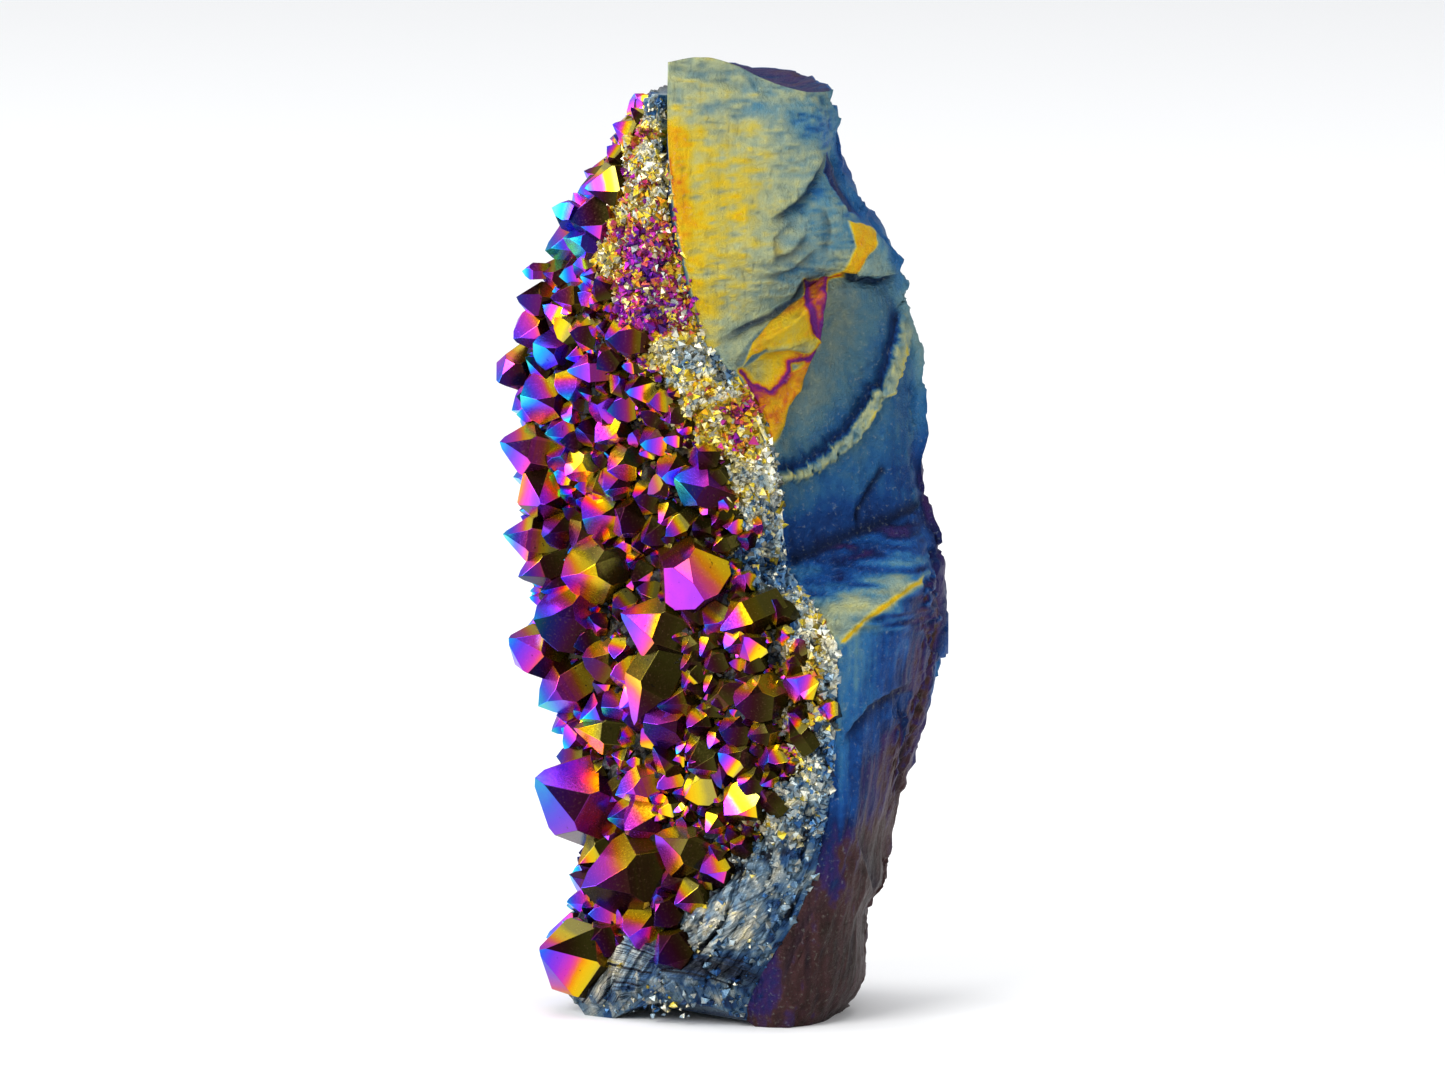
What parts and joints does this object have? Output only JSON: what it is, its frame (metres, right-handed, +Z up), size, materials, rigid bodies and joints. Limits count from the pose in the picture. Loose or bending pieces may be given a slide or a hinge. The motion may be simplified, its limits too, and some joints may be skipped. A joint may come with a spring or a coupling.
{
  "type": "aura quartz cluster",
  "caption": "Upright cluster of coated quartz points on a crust over a broken block of host rock, resting on its flat foot.",
  "frame": {"origin": "middle of the bounding box's base, on the surface that the cluster stands on", "axes": "+Z up, along the cluster's height; -Y to the front, where the rock's broken face and the druse both show; the druse is on the -X side"},
  "size_m": [0.0772, 0.0557, 0.165],
  "materials": {
    "coated_rock": "satin",
    "coated_quartz": "gloss"
  },
  "bodies": {
    "root": {"matrix_rock": "coated_rock", "quartz_crystals": "coated_quartz"}
  },
  "joints": []
}
